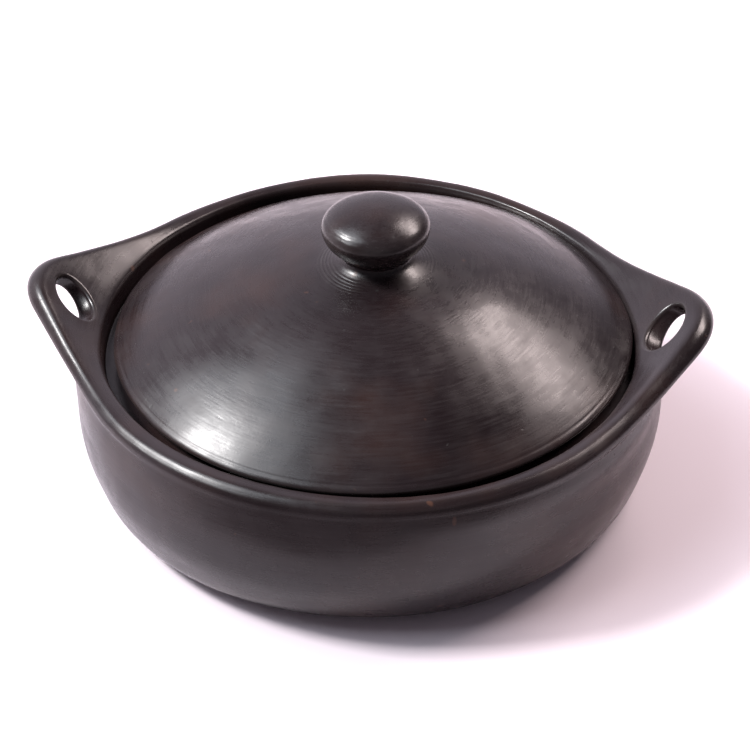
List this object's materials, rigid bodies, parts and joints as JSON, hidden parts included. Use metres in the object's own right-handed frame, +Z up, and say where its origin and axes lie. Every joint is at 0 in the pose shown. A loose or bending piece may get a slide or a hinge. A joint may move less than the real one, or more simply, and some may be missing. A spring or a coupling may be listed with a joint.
{
  "type": "covered clay casserole",
  "caption": "Round black clay cooking pot with pierced triangular lugs rising from its rim and a loose domed lid with a ball knob.",
  "frame": {"origin": "centre of the flat foot, on the surface the pot stands on", "axes": "+Z up through the knob, +X from lug to lug, -Y towards the viewer"},
  "size_m": [0.3086, 0.2682, 0.1336],
  "materials": {
    "black_clay": "unglazed smoke-fired clay, hand burnished to a satin black"
  },
  "bodies": {
    "pot": {"pot_floor": "black_clay", "pot_wall": "black_clay", "rim_coil": "black_clay", "lid_seat": "black_clay", "left_handle": "black_clay", "right_handle": "black_clay"},
    "lid": {"lid_dome": "black_clay", "lid_knob": "black_clay"}
  },
  "joints": [
    {"name": "lid_lift", "type": "slide", "parent": "pot", "child": "lid", "axis": [0, 0, 1], "range_m": [0, 0.2]}
  ]
}
